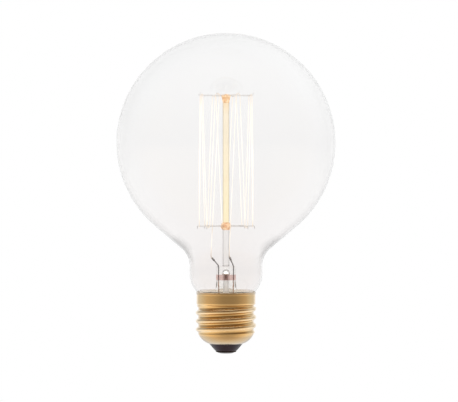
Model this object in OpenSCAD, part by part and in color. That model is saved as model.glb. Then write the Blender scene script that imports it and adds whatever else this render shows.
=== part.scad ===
// Clear globe lamp with a squirrel cage filament and an E27 screw cap.
// Millimetres. The origin is the tip of the centre contact, +Z runs up the lamp's axis
// and the front, where the filament's two ends come down, faces -Y.

/* [Glass envelope] */
// Diameter of the globe
globe_d = 95; // [85:1:110]
// Wall of the blown glass
glass_t = 0.8; // [0.5:0.1:1.2]
// Angle between the lamp's axis and the straight shoulder below the globe
shoulder_angle = 50; // [46:1:54]
// Radius of the hollow curve between shoulder and neck
shoulder_fillet = 10; // [6:0.5:14]
// Diameter of the neck where it runs straight
neck_d = 31.6; // [30:0.2:34]
// Length of the neck's straight stretch
neck_l = 3.2; // [1:0.2:8]
// Radius of the curve that draws the neck in to the cap
neck_curve = 12; // [10:0.5:14]
// Diameter of the neck's sealed end inside the cap
seal_d = 22.8; // [21:0.2:23]
// Depth of the sealed end below the cap's rim
seal_depth = 8.5; // [7:0.5:10]

/* [Cap] */
// Crest diameter of the screw thread
thread_d = 26.4; // [26.1:0.05:26.5]
// Root diameter of the screw thread
thread_root_d = 24.2; // [24:0.05:24.4]
// Pitch of the screw thread
thread_pitch = 3.629; // [3.4:0.001:3.9]
// Length of the threaded stretch
thread_l = 13.1; // [11:0.1:15]
// Length over which the thread dies away at each end
thread_runout = 1.5; // [1:0.1:2]
// Length over which the thread's root rises to the skirt
thread_ramp = 1; // [0.6:0.1:1.5]
// Wall of the rolled shell
shell_t = 0.35; // [0.25:0.05:0.45]
// Outer diameter of the plain skirt above the thread
skirt_d = 25.7; // [25.4:0.1:26]
// Length of the plain skirt
skirt_l = 4.2; // [3:0.1:6]
// Outer diameter of the flared rim
rim_d = 26.2; // [26:0.1:26.6]
// Height of the flared rim
rim_l = 0.8; // [0.5:0.1:1.5]
// Radius of the shell's rounded foot
foot_r = 7.5; // [6.5:0.1:9]
// Height of the rounded foot
foot_l = 4.3; // [3.8:0.1:5]
// Diameter of the opening in the foot
lip_d = 14.6; // [13:0.1:15.5]
// Height of the insulator's bare cone
cone_l = 3.1; // [2:0.1:4]
// Diameter of the cone's lower end
cone_d = 9.2; // [8.6:0.1:11]
// Height of the insulator inside the foot
insulator_l = 2.4; // [1.5:0.1:3]
// Diameter of the contact plate
plate_d = 8.9; // [7:0.1:9.2]
// Thickness of the contact plate
plate_t = 0.4; // [0.3:0.05:0.6]
// Diameter of the plate's eyelet in the insulator
eyelet_d = 2.2; // [1.8:0.1:3]
// Length of the plate's eyelet
eyelet_l = 2.5; // [1.5:0.1:3.5]
// Diameter of the solder on the plate
solder_d = 8.2; // [6:0.1:8.8]
// Height of the solder below the plate
solder_h = 0.6; // [0.4:0.05:0.9]
// Diameter of the flat that the solder rests on
contact_d = 4.8; // [3:0.1:6]

/* [Stem] */
// Outer diameter of the stem's tube
stem_d = 9.2; // [8.8:0.1:11]
// Wall of the stem's tube
stem_t = 0.8; // [0.6:0.05:0.9]
// Radius of the stem's flare
flare_r = 5; // [3:0.1:5.5]
// Height of the pinch's top above the cap's rim
press_rise = 11.3; // [9:0.1:15]
// Length of the pinch
press_l = 6; // [5:0.1:8]
// Thickness of the pinch
press_w = 4.4; // [4:0.1:6]
// Height over which the round tube flattens into the pinch
press_roof = 2.8; // [2:0.1:3.5]
// Depth of the solid glass below the pinch
press_root = 1; // [0.8:0.1:1.2]
// Diameter of the exhaust tube
exhaust_d = 2.6; // [2.2:0.1:3]
// Bore of the exhaust tube
exhaust_bore = 1.4; // [1:0.1:1.6]
// Distance from the pinch's top to the exhaust tube's upper end
exhaust_drop = 2; // [1.5:0.1:3]
// Length of the exhaust tube
exhaust_l = 22.8; // [16:0.1:23]
// Diameter of the hole that opens the exhaust tube into the globe
vent_d = 0.9; // [0.6:0.1:1.2]
// Diameter of the glass rod
rod_d = 2.8; // [2.2:0.1:3.6]
// Length of the glass rod between pinch and upper button
rod_l = 70.8; // [60:0.1:76]

/* [Wires] */
// Distance between the two lead wires in the pinch
lead_span = 6.4; // [6:0.1:6.6]
// Diameter of the lead wires
lead_d = 0.5; // [0.4:0.05:0.7]
// Radius of the bend in the shell wire
wire_bend = 1.2; // [0.8:0.1:1.6]
// Height at which the lead wires start to bend, above the pinch
lead_rise = 0.2; // [0:0.1:1]
// Straight length of the left lead wire above its bend
left_lead_l = 4.4; // [3:0.1:5]
// Lean of the left lead wire from the vertical
left_lean = 47; // [35:1:55]
// Heading of the left lead wire, anticlockwise from +X
left_heading = 223; // [200:1:250]
// Straight length of the right lead wire above its bend
right_lead_l = 4.4; // [3:0.1:5]
// Lean of the right lead wire from the vertical
right_lean = 42; // [35:1:55]
// Heading of the right lead wire, anticlockwise from +X
right_heading = 243; // [220:1:260]
// Diameter of the clamps on the lead wires
clamp_d = 0.95; // [0.9:0.05:1.4]
// Length of the clamps
clamp_l = 1.8; // [1.4:0.1:2.4]
// Diameter of the sealing wires
seal_wire_d = 0.4; // [0.3:0.05:0.6]
// Length of the sealing wires
seal_wire_l = 2.8; // [2.4:0.1:3.4]
// Distance from the pinch's top to the sealing wires
seal_wire_drop = 3.8; // [3:0.1:4.4]
// Slope of the contact wire where it crosses to the lamp's axis
contact_slope = 30; // [25:1:40]
// Length of the weld on the shell wire
weld_l = 0.9; // [0.6:0.1:1.2]
// Height of the weld
weld_h = 1; // [0.8:0.1:1.2]

/* [Cage] */
// Number of upper hooks
upper_hooks = 8; // [6:1:10]
// Radius of the cage
cage_r = 11.6; // [10:0.1:16]
// Turn of the cage about the lamp's axis
cage_turn = 4; // [-10:1:10]
// Diameter of the support wires
hook_d = 0.35; // [0.3:0.05:0.45]
// Radius of the bend at a support wire's end
hook_bend = 0.5; // [0.4:0.05:0.8]
// Length of a support wire's turned end
hook_tip = 0.5; // [0.3:0.1:1]
// Diameter of the filament
filament_d = 0.3; // [0.2:0.05:0.4]
// Distance between the two strands that hang on a hook
loop_w = 1.8; // [1.2:0.1:2.4]
// Diameter of the upper button
upper_button_d = 4; // [3.8:0.1:5]
// Height of the upper button's taper
upper_button_l = 2.8; // [2:0.1:4]
// Height of the band that holds the upper hooks
button_band = 0.8; // [0.7:0.05:1.2]
// Diameter of the lower button
lower_button_d = 4.4; // [4.2:0.1:5.5]
// Radius of the lower button's rounded side
lower_button_r = 1.8; // [1.6:0.1:2.4]
// Height of the lower hooks above the pinch
lower_rise = 17.4; // [14:0.1:24]

/* [Hidden] */
$fn = 48;

// Clearance between wires and glass, and between pieces of the cap
fit = 0.02;
// Clearance between neck and rim
rim_gap = 0.1;
// Clearance between filament and hook
loop_gap = 0.03;
// How far a cutting tool runs past the face that it opens
over = 1;
// How far a straight stretch of an outline is let into the round one that it runs into
lap = 0.002;
// How much thicker a wire is at a kink
kink = 1.03;
// Depth to which lead and contact wires end inside solder, weld and buttons
bite = 0.3;

// Heights of the cap, upwards from the contact's tip
plate_z = solder_h;
cone_z = plate_z + plate_t;
lip_z = cone_z + cone_l;
thread_z = lip_z + foot_l;
skirt_z = thread_z + thread_l;
rim_z = skirt_z + skirt_l;
cap_top = rim_z + rim_l;

// Radii of the cap
crest_r = thread_d / 2;
root_r = thread_root_d / 2;
skirt_r = skirt_d / 2;
rim_r = rim_d / 2;
lip_r = lip_d / 2;

// Centre of the foot's arc, which passes through the thread's lower end and the lip
foot_chord = [root_r - lip_r, thread_z - lip_z];
foot_reach = sqrt(foot_r ^ 2 - (norm(foot_chord) / 2) ^ 2);
foot_x = (root_r + lip_r) / 2 - foot_reach * foot_chord.y / norm(foot_chord);
foot_z = (thread_z + lip_z) / 2 + foot_reach * foot_chord.x / norm(foot_chord);

// Envelope, upwards from the rim
globe_r = globe_d / 2;
neck_r = neck_d / 2;
seal_r = seal_d / 2;
rim_glass_r = rim_r - shell_t - rim_gap;
curve_x = neck_r - neck_curve;
neck_z = cap_top + sqrt(neck_curve ^ 2 - (rim_glass_r - curve_x) ^ 2);
fillet_x = neck_r + shoulder_fillet;
fillet_z = neck_z + neck_l;
globe_rise = (globe_r + shoulder_fillet - fillet_x * cos(shoulder_angle)) / sin(shoulder_angle);
globe_z = fillet_z + globe_rise;
seal_z = cap_top - seal_depth;
cement_top = neck_z - sqrt(neck_curve ^ 2 - (seal_r + fit - curve_x) ^ 2);

// Stem
stem_r = stem_d / 2;
stem_bore_r = stem_r - stem_t;
press_top = cap_top + press_rise;
press_z = press_top - press_l;
flare_z = seal_z + flare_r;
exhaust_r = exhaust_d / 2;
exhaust_top = press_top - exhaust_drop;
exhaust_tip = exhaust_top - exhaust_l;
vent_z = exhaust_top - exhaust_r;
rod_r = rod_d / 2;
rod_top = press_top + rod_l;

// Wires
lead_x = lead_span / 2;
lead_r = lead_d / 2;
seal_wire_r = seal_wire_d / 2;
seal_wire_top = press_top - seal_wire_drop;
seal_wire_z = seal_wire_top - seal_wire_l;
lead_foot_l = press_top + lead_rise - seal_wire_top;
clamp_r = clamp_d / 2;
grip = clamp_l / 2;
insulator_top = lip_z + insulator_l;
contact_end = plate_z - bite;
contact_run = insulator_top + bite - contact_end;
contact_slant = lead_x / sin(contact_slope);
contact_climb = lead_x / tan(contact_slope);
contact_rest = seal_wire_z - contact_end - contact_run - contact_climb;
weld_z = insulator_top + weld_h / 2 + bite;
weld_x = foot_inner(weld_z) - weld_l;
weld_turn = 12;

// Cage
step = 180 / upper_hooks;
hook_r = hook_d / 2;
filament_r = filament_d / 2;
loop_r = loop_w / 2;
upper_z = rod_top + upper_button_l + button_band / 2;
lower_z = press_top + lower_rise;
hang = hook_r + filament_r + loop_gap;
upper_loop_z = upper_z + hang - loop_r;
lower_loop_z = lower_z - hang + loop_r;
upper_button_r = upper_button_d / 2;
lower_button_x = lower_button_d / 2 - lower_button_r;

// Facets of the solder's shallow dome, the rolled thread and the filament
dome_facets = 180;
thread_columns = 32;
rows_per_pitch = 8;
filament_sides = 6;
loop_rings = 8;
end_rings = 6;

glass = [0.86, 0.92, 0.95, 0.3];
stem_glass = [0.9, 0.95, 0.95, 0.5];
amber = [0.9, 0.55, 0.2];
steel = [0.35, 0.34, 0.33];
glow = [1, 0.85, 0.55];
copper = [0.72, 0.42, 0.25];
seal_red = [0.5, 0.2, 0.16];
brass = [0.79, 0.62, 0.35];
black_glass = [0.12, 0.1, 0.12];
solder_grey = [0.45, 0.45, 0.46];
cement_cream = [0.85, 0.78, 0.66];

// Numbers shared by several pieces

function unit(v) = v / norm(v);
function smooth(t) = let (u = min(max(t, 0), 1)) u * u * (3 - 2 * u);
function foot_outer(z) = foot_x + sqrt(foot_r ^ 2 - (foot_z - z) ^ 2);
function foot_inner(z) = foot_x + sqrt((foot_r - shell_t) ^ 2 - (foot_z - z) ^ 2);

// Azimuths run from the front towards +X. Even loops hang on upper hooks, odd ones on lower hooks.
function loop_azimuth(k) = cage_turn + step * (k + 1);
function outward(azimuth) = [sin(azimuth), -cos(azimuth), 0];
function sideways(azimuth) = [cos(azimuth), sin(azimuth), 0];

// Each lead wire as [x, heading, lean, straight length]
left_wire = [-lead_x, left_heading, left_lean, left_lead_l];
right_wire = [lead_x, right_heading, right_lean, right_lead_l];
function lead_way(w) = [cos(w[1]) * sin(w[2]), sin(w[1]) * sin(w[2]), cos(w[2])];
function lead_tip(w) = [w[0], 0, press_top + lead_rise] + w[3] * lead_way(w);

// Wire is laid along +Z: a straight run, a square bend towards +X or a sharp kink towards +X,
// each followed by its children

module run(r, l) {
    cylinder(r = r, h = l);
    translate([0, 0, l]) children();
}

module square_bend(r, bend_r) {
    translate([bend_r, 0, 0])
        rotate([90, 0, 180])
            rotate_extrude(angle = 90)
                translate([bend_r, 0])
                    circle(r);
    translate([bend_r, 0, bend_r]) rotate([0, 90, 0]) children();
}

module kinked(r, turn) {
    sphere(r * kink);
    rotate([0, turn, 0]) children();
}

// Envelope

// The glass as a full body, drawn in by inset all round
module envelope_body(inset) {
    ball_r = globe_r - inset;
    hollow_r = shoulder_fillet + inset;
    slope = [cos(shoulder_angle), -sin(shoulder_angle)];
    shoulder_top = [0, globe_z] + (ball_r - lap) * slope;
    translate([0, 0, globe_z]) sphere(ball_r);
    rotate_extrude()
        difference() {
            polygon([
                shoulder_top,
                [fillet_x, fillet_z] - (hollow_r - lap) * slope,
                [fillet_x, fillet_z],
                [neck_r - inset + lap, fillet_z],
                [neck_r - inset - lap, neck_z],
                [0, neck_z],
                [0, shoulder_top.y]
            ]);
            translate([fillet_x, fillet_z]) circle(hollow_r);
        }
    rotate_extrude()
        intersection() {
            translate([curve_x, neck_z]) circle(neck_curve - inset);
            translate([0, seal_z]) square([neck_r, fillet_z - seal_z]);
        }
    translate([0, 0, seal_z - inset]) cylinder(r = seal_r - inset, h = neck_z - seal_z + inset);
}

module glass_globe() {
    color(glass)
        difference() {
            envelope_body(0);
            envelope_body(glass_t);
        }
}

// Stem

// Half outline of the flared tube, drawn in by inset, with its rim out to reach
module flare_outline(inset, reach) {
    top = press_z - press_root;
    ring_x = stem_r + flare_r;
    difference() {
        polygon([
            [0, top],
            [stem_r - inset, top],
            [stem_r - inset + lap, flare_z],
            [ring_x, flare_z],
            [ring_x, seal_z - inset + lap],
            [reach, seal_z - inset],
            [reach, seal_z - inset - over],
            [0, seal_z - inset - over]
        ]);
        translate([ring_x, flare_z]) circle(flare_r + inset);
    }
}

// Side view of the pinch: the roof planes and the flat above them
module press_outline() {
    polygon([
        [-stem_r, press_z - press_root],
        [stem_r, press_z - press_root],
        [press_w / 2, press_z - press_root + press_roof],
        [press_w / 2, press_top],
        [-press_w / 2, press_top],
        [-press_w / 2, press_z - press_root + press_roof]
    ]);
}

module glass_stem() {
    color(stem_glass)
        difference() {
            union() {
                rotate_extrude()
                    difference() {
                        flare_outline(0, seal_r);
                        flare_outline(stem_t, seal_r + over);
                    }
                intersection() {
                    translate([0, 0, press_z - press_root]) cylinder(r = stem_r, h = press_l + press_root);
                    rotate([90, 0, 90])
                        linear_extrude(height = stem_d, center = true)
                            press_outline();
                }
            }
            translate([0, 0, press_z - 2 * press_root])
                cylinder(r1 = stem_bore_r, r2 = press_w / 2, h = 2 * press_root);
            exhaust_space();
            vent();
            for (side = [-1, 1])
                translate([side * lead_x, 0, 0]) {
                    translate([0, 0, press_z - 2 * press_root])
                        cylinder(r = lead_r + fit, h = seal_wire_z - press_z + 2 * press_root);
                    translate([0, 0, seal_wire_z])
                        cylinder(r = seal_wire_r + fit, h = seal_wire_l);
                    translate([0, 0, seal_wire_top])
                        cylinder(r = lead_r + fit, h = seal_wire_drop + over);
                }
        }
}

// The exhaust tube's outside with its clearance in the pinch
module exhaust_space() {
    translate([0, 0, vent_z]) sphere(exhaust_r + fit);
    translate([0, 0, press_z - over]) cylinder(r = exhaust_r + fit, h = vent_z - press_z + over);
}

module vent() {
    translate([0, 0, vent_z]) rotate([-90, 0, 0]) cylinder(r = vent_d / 2, h = stem_d);
}

module exhaust_tube() {
    color(stem_glass)
        difference() {
            rotate_extrude() {
                intersection() {
                    translate([0, vent_z]) circle(exhaust_r);
                    translate([0, vent_z]) square(exhaust_d);
                }
                translate([0, exhaust_tip + exhaust_r])
                    square([exhaust_r, vent_z - exhaust_tip - exhaust_r]);
                intersection() {
                    translate([0, exhaust_tip + exhaust_r]) circle(exhaust_r);
                    translate([0, exhaust_tip]) square([exhaust_d, exhaust_r]);
                }
            }
            translate([0, 0, exhaust_tip + exhaust_d])
                cylinder(r = exhaust_bore / 2, h = vent_z + vent_d / 2 - exhaust_tip - exhaust_d);
            vent();
        }
}

module support_rod() {
    color(stem_glass) translate([0, 0, press_top]) cylinder(r = rod_r, h = rod_l);
}

// Straight holes for support wires, all round a button
module hook_holes(first, last, z) {
    for (k = [first : 2 : last])
        translate([0, 0, z])
            rotate([0, 0, loop_azimuth(k) - 90])
                translate([rod_r + bite - fit, 0, 0])
                    rotate([0, 90, 0])
                        cylinder(r = hook_r + fit, h = lower_button_d);
}

module lower_button() {
    color(amber)
        difference() {
            rotate_extrude()
                intersection() {
                    translate([lower_button_x, lower_z]) circle(lower_button_r);
                    translate([rod_r + fit, lower_z - lower_button_r])
                        square(2 * lower_button_r);
                }
            hook_holes(1, 2 * upper_hooks - 3, lower_z);
        }
}

module upper_button() {
    color(amber)
        difference() {
            union() {
                translate([0, 0, rod_top])
                    cylinder(r1 = rod_r, r2 = upper_button_r, h = upper_button_l);
                translate([0, 0, rod_top + upper_button_l])
                    cylinder(r = upper_button_r, h = button_band);
            }
            hook_holes(0, 2 * upper_hooks - 2, upper_z);
        }
}

// Support wire of loop k: out from the button, under or over the loop, then turned away from it
module support_wire(k, z, rolled) {
    reach = cage_r + filament_r + hook_r + loop_gap - rod_r - bite;
    color(steel)
        translate([0, 0, z])
            rotate([0, 0, loop_azimuth(k) - 90])
                translate([rod_r + bite, 0, 0])
                    rotate([0, 90, 0])
                        rotate([0, 0, rolled])
                            run(hook_r, reach)
                                square_bend(hook_r, hook_bend)
                                    run(hook_r, hook_tip);
}

module upper_hook(i) {
    support_wire(2 * i - 2, upper_z, 180);
}

module lower_hook(i) {
    support_wire(2 * i - 1, lower_z, 0);
}

// Filament

// Points over loop k, from the strand that arrives to the strand that leaves
function loop_points(k) = let (
    azimuth = loop_azimuth(k),
    up = k % 2 == 0 ? 1 : -1,
    middle = cage_r * outward(azimuth) + [0, 0, up > 0 ? upper_loop_z : lower_loop_z]
) [
    for (i = [0 : loop_rings]) let (turn = 180 * i / loop_rings)
        middle - loop_r * cos(turn) * sideways(azimuth) + [0, 0, up * loop_r * sin(turn)]
];

// Points from a clamp to where the end strand points straight at its hook
function end_points(w, hook) = let (
    way = lead_way(w),
    mouth = lead_tip(w) + grip * way,
    knee = mouth + grip * way,
    last = knee + grip * unit(hook - knee)
) concat(
    [lead_tip(w) + fit * way],
    [for (i = [0 : end_rings]) let (t = i / end_rings)
        (1 - t) ^ 2 * mouth + 2 * t * (1 - t) * knee + t ^ 2 * last]
);

function reversed(list) = [for (i = [len(list) - 1 : -1 : 0]) list[i]];

last_loop = 2 * upper_hooks - 2;
loops = [for (k = [0 : last_loop]) loop_points(k)];
right_end = end_points(right_wire, loops[0][0]);
left_end = reversed(end_points(left_wire, loops[last_loop][loop_rings]));
filament_path = concat(right_end, [for (l = loops) each l], left_end);
filament_azimuths = concat(
    [for (p = right_end) loop_azimuth(0)],
    [for (k = [0 : last_loop]) each [for (p = loops[k]) loop_azimuth(k)]],
    [for (p = left_end) loop_azimuth(last_loop)]
);

function filament_way(i) = let (n = len(filament_path) - 1)
    i == 0 ? unit(filament_path[1] - filament_path[0])
    : i == n ? unit(filament_path[n] - filament_path[n - 1])
    : unit(unit(filament_path[i] - filament_path[i - 1]) + unit(filament_path[i + 1] - filament_path[i]));

function filament_ring(i) = let (
    way = filament_way(i),
    radial = outward(filament_azimuths[i]),
    across = unit(radial - (radial * way) * way),
    along = cross(way, across)
) [
    for (s = [0 : filament_sides - 1]) let (turn = 360 * s / filament_sides)
        filament_path[i] + filament_r * (cos(turn) * across + sin(turn) * along)
];

// Least distance between two stretches of the filament, on points down each strand
strand_steps = 8;
strand_points = [
    for (k = [0 : last_loop - 1], i = [0 : strand_steps])
        [k, loops[k][loop_rings] + (loops[k + 1][0] - loops[k][loop_rings]) * i / strand_steps]
];
least_gap = min([
    for (a = strand_points, b = strand_points) if (a[0] < b[0]) norm(a[1] - b[1])
]) - filament_d;

module filament() {
    rings = len(filament_path);
    sides = filament_sides;
    end = (rings - 1) * sides;
    walls = [
        for (i = [0 : rings - 2], s = [0 : sides - 1]) let (
            a = i * sides + s,
            b = i * sides + (s + 1) % sides
        ) each [[a, a + sides, b + sides], [a, b + sides, b]]
    ];
    caps = [for (s = [1 : sides - 2]) each [[0, s, s + 1], [end, end + s + 1, end + s]]];
    echo(str("Filament's least gap to itself: ", least_gap, " mm"));
    color(glow)
        polyhedron(
            points = [for (i = [0 : rings - 1]) each filament_ring(i)],
            faces = concat(walls, caps)
        );
}

// Lead, sealing and outer wires

module lead(w) {
    color(steel)
        translate([w[0], 0, seal_wire_top])
            run(lead_r, lead_foot_l)
                rotate([0, 0, w[1]])
                    kinked(lead_r, w[2])
                        run(lead_r, w[3]);
}

module clamp(w) {
    color(steel)
        translate(lead_tip(w))
            rotate([0, w[2], w[1]])
                difference() {
                    translate([0, 0, -grip]) cylinder(r = clamp_r, h = clamp_l);
                    translate([0, 0, -clamp_l]) cylinder(r = lead_r + fit, h = clamp_l);
                    cylinder(r = filament_r + fit, h = clamp_l);
                }
}

module seal_wire(w) {
    color(seal_red)
        translate([w[0], 0, seal_wire_z])
            cylinder(r = seal_wire_r, h = seal_wire_l);
}

module contact_wire() {
    color(copper)
        translate([0, 0, contact_end])
            run(lead_r, contact_run)
                kinked(lead_r, contact_slope)
                    run(lead_r, contact_slant)
                        kinked(lead_r, -contact_slope)
                            run(lead_r, contact_rest);
}

module shell_wire() {
    drop = seal_wire_z - weld_z - wire_bend;
    color(copper)
        translate([-lead_x, 0, seal_wire_z])
            rotate([180, 0, 0])
                run(lead_r, drop)
                    rotate([0, 0, 180])
                        square_bend(lead_r, wire_bend)
                            run(lead_r, weld_x + bite - lead_x - wire_bend);
}

module shell_weld() {
    color(solder_grey)
        difference() {
            rotate([0, 0, 180 - weld_turn / 2])
                rotate_extrude(angle = weld_turn)
                    intersection() {
                        translate([foot_x, foot_z]) circle(foot_r - shell_t - fit);
                        translate([weld_x, weld_z - weld_h / 2]) square([foot_r, weld_h]);
                    }
            translate([-weld_x - bite - fit, 0, weld_z])
                rotate([0, 90, 0])
                    cylinder(r = lead_r + fit, h = weld_x);
        }
}

// Cap

// Height of the rolled thread over its root, for the axial distance u from a crest
function thread_rise(u) = let (
    depth = crest_r - root_r,
    quarter = thread_pitch / 4,
    arc_r = (quarter ^ 2 + (depth / 2) ^ 2) / depth,
    v = abs(u)
) v < quarter
    ? depth - arc_r + sqrt(arc_r ^ 2 - v ^ 2)
    : arc_r - sqrt(arc_r ^ 2 - (2 * quarter - v) ^ 2);

// Right-hand thread: crests climb as the angle grows. A crest leaves the foot at this angle.
thread_start = -8;
function crest_distance(angle, z) = let (
    t = (z - thread_z) / thread_pitch - (angle - thread_start) / 360
) thread_pitch * (t - round(t));

// Outer radius of the thread, which grows out of the foot and runs into the skirt
tuck = 0.08;
thread_lap = 0.15;
function thread_outer(angle, z) = let (
    fade = smooth((z - thread_z) / thread_runout) * smooth((skirt_z - thread_lap - z) / thread_runout),
    sweep_out = smooth((z - skirt_z + thread_lap) / thread_ramp + 1)
) max(
    root_r + fade * thread_rise(crest_distance(angle, z)),
    root_r + sweep_out * (skirt_r - fit - root_r)
);

// Section of the thread's wall at one angle: up the outside, then down the inside.
// Its first and last rows are tucked into the walls of foot and skirt.
thread_rows = ceil((thread_l - 2 * thread_lap) / thread_pitch * rows_per_pitch);
flat_share = 1 / cos(180 / thread_columns);
function thread_row_z(i) = thread_z + thread_lap + (thread_l - 2 * thread_lap) * i / thread_rows;
function thread_section(angle) = let (
    foot_end = thread_z - thread_lap,
    skirt_end = skirt_z + thread_lap
) concat(
    [[foot_outer(foot_end) - tuck, foot_end]],
    [for (i = [0 : thread_rows]) [thread_outer(angle, thread_row_z(i)), thread_row_z(i)]],
    [[skirt_r - tuck, skirt_end]],
    [[(skirt_r - shell_t + tuck) * flat_share, skirt_end]],
    [for (i = [thread_rows : -1 : 0])
        [(thread_outer(angle, thread_row_z(i)) - shell_t) * flat_share, thread_row_z(i)]],
    [[(foot_inner(foot_end) + tuck) * flat_share, foot_end]]
);

module rolled_thread() {
    columns = thread_columns;
    size = len(thread_section(0));
    points = [
        for (j = [0 : columns - 1]) let (angle = 360 * j / columns)
            for (p = thread_section(angle)) [p.x * cos(angle), p.x * sin(angle), p.y]
    ];
    faces = [
        for (j = [0 : columns - 1], i = [0 : size - 1]) let (
            a = j * size + i,
            b = j * size + (i + 1) % size,
            c = (j + 1) % columns * size + (i + 1) % size,
            d = (j + 1) % columns * size + i
        ) each [[a, b, c], [a, c, d]]
    ];
    polyhedron(points = points, faces = faces);
}

module cap_shell() {
    color(brass) {
        rotate_extrude()
            polygon([
                [skirt_r - shell_t, skirt_z],
                [skirt_r, skirt_z],
                [skirt_r, rim_z],
                [rim_r, cap_top],
                [rim_r - shell_t, cap_top],
                [skirt_r - shell_t, rim_z]
            ]);
        rolled_thread();
        rotate_extrude()
            intersection() {
                difference() {
                    translate([foot_x, foot_z]) circle(foot_r);
                    translate([foot_x, foot_z]) circle(foot_r - shell_t);
                }
                translate([lip_r, 0]) square([root_r, thread_z]);
            }
    }
}

module cap_insulator() {
    hole_r = eyelet_d / 2 + fit;
    throat_r = lip_r - fit;
    color(black_glass)
        rotate_extrude() {
            polygon([
                [hole_r, cone_z],
                [cone_d / 2, cone_z],
                [throat_r, lip_z],
                [throat_r, insulator_top],
                [hole_r, insulator_top]
            ]);
            intersection() {
                translate([foot_x, foot_z]) circle(foot_r - shell_t - fit);
                translate([throat_r, lip_z]) square([root_r, insulator_l]);
            }
        }
}

module contact_plate() {
    hole_r = lead_r + fit;
    color(brass)
        rotate_extrude() {
            translate([hole_r, plate_z]) square([plate_d / 2 - hole_r, plate_t]);
            translate([hole_r, cone_z]) square([eyelet_d / 2 - hole_r, eyelet_l]);
        }
}

// A shallow dome of solder, cut flat where it touches
module contact_solder() {
    dome_z = (solder_h ^ 2 + (solder_d / 2) ^ 2 - (contact_d / 2) ^ 2) / (2 * solder_h);
    dome_r = norm([contact_d / 2, dome_z]);
    color(solder_grey)
        difference() {
            rotate_extrude()
                intersection() {
                    translate([0, dome_z]) circle(dome_r, $fn = dome_facets);
                    square([solder_d, solder_h]);
                }
            translate([0, 0, contact_end - fit]) cylinder(r = lead_r + fit, h = solder_h);
        }
}

module cap_cement() {
    inner_r = seal_r + fit;
    outer_r = skirt_r - shell_t - fit;
    color(cement_cream)
        rotate_extrude()
            translate([inner_r, skirt_z + bite])
                square([outer_r - inner_r, cement_top - skirt_z - bite]);
}

// Assembly

glass_globe();
glass_stem();
exhaust_tube();
support_rod();
lower_button();
upper_button();
for (i = [1 : upper_hooks])
    upper_hook(i);
for (i = [1 : upper_hooks - 1])
    lower_hook(i);
filament();
lead(left_wire);  // left_lead
lead(right_wire);  // right_lead
clamp(left_wire);  // left_clamp
clamp(right_wire);  // right_clamp
seal_wire(left_wire);  // left_seal_wire
seal_wire(right_wire);  // right_seal_wire
contact_wire();
shell_wire();
cap_shell();
cap_insulator();
contact_plate();
contact_solder();
shell_weld();
cap_cement();
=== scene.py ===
# %% [markdown]
# A clear globe lamp with a tall cage of glowing strands and a brass screw cap.
# The construction arrives from the CAD model as a fixed frame, in metres: the tip of the centre
# contact is the origin, +Z runs up the lamp's axis and the filament's two ends come down in front,
# towards -Y. Each step below models one piece, gives it a finish and lets it stand for its CAD node.

# %% Load the frame
import math

import bmesh
import bpy
from mathutils import Matrix, Vector


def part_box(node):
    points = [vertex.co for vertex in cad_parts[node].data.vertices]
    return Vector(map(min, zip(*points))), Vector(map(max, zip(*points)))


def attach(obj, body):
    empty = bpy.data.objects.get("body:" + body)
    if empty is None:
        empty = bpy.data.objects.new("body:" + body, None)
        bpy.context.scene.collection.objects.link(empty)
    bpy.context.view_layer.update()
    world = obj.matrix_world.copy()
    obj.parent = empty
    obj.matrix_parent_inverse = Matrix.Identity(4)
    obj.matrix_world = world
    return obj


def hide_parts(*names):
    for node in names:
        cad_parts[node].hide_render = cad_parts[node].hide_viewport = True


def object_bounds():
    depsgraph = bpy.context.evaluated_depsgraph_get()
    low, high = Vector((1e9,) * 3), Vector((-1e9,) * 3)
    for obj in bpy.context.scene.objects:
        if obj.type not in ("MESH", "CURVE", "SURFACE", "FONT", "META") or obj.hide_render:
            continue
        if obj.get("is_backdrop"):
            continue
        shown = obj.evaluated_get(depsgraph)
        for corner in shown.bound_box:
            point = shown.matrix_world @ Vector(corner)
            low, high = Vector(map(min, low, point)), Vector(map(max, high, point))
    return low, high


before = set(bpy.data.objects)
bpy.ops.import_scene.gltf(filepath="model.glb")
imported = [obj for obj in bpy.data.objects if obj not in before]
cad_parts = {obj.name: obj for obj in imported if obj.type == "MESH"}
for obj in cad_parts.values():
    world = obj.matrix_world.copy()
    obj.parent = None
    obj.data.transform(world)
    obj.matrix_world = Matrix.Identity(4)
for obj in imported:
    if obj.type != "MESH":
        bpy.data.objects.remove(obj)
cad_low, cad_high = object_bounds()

print("nodes in the frame:", len(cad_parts))

# %% [markdown]
# Sizes first. Whatever the frame can tell is read from the boxes of its nodes, so the pieces follow
# the construction if it changes. A box can't tell a fillet or a wall, so those are written where
# they are used, in millimetres times MM, because Blender works in metres.

# %% Heights read from the frame
MM = 0.001


def low(node):
    """Lowest corner of a node's box."""
    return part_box(node)[0]


def high(node):
    """Highest corner of a node's box."""
    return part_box(node)[1]


hook_r = 0.175 * MM
crown_z = high("glass_globe").z
seal_z = low("glass_globe").z
cap_top = high("cap_shell").z
lip_z = low("cap_shell").z
press_top = high("glass_stem").z
rod_top = high("support_rod").z
upper_z = low("upper_hook_1").z + hook_r
lower_z = high("lower_hook_1").z - hook_r
print(f"lamp {crown_z / MM:.1f} mm tall, hooks at {lower_z / MM:.1f} and {upper_z / MM:.1f} mm")

# %% [markdown]
# Most of the lamp is turned: glass is blown and worked while it spins, and the cap is rolled. So
# the main tool is a lathe. A pen draws half an outline in the XZ plane, with straight strokes
# (extrude one vertex) and round ones (spin one vertex about a centre), and a full spin about Z
# turns that outline into a surface. The spin repeats the vertices on the axis once for each step,
# so they are merged before the normals are made to point outwards.

# %% A pen, and a lathe
MERGE = 0.0005 * MM


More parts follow.
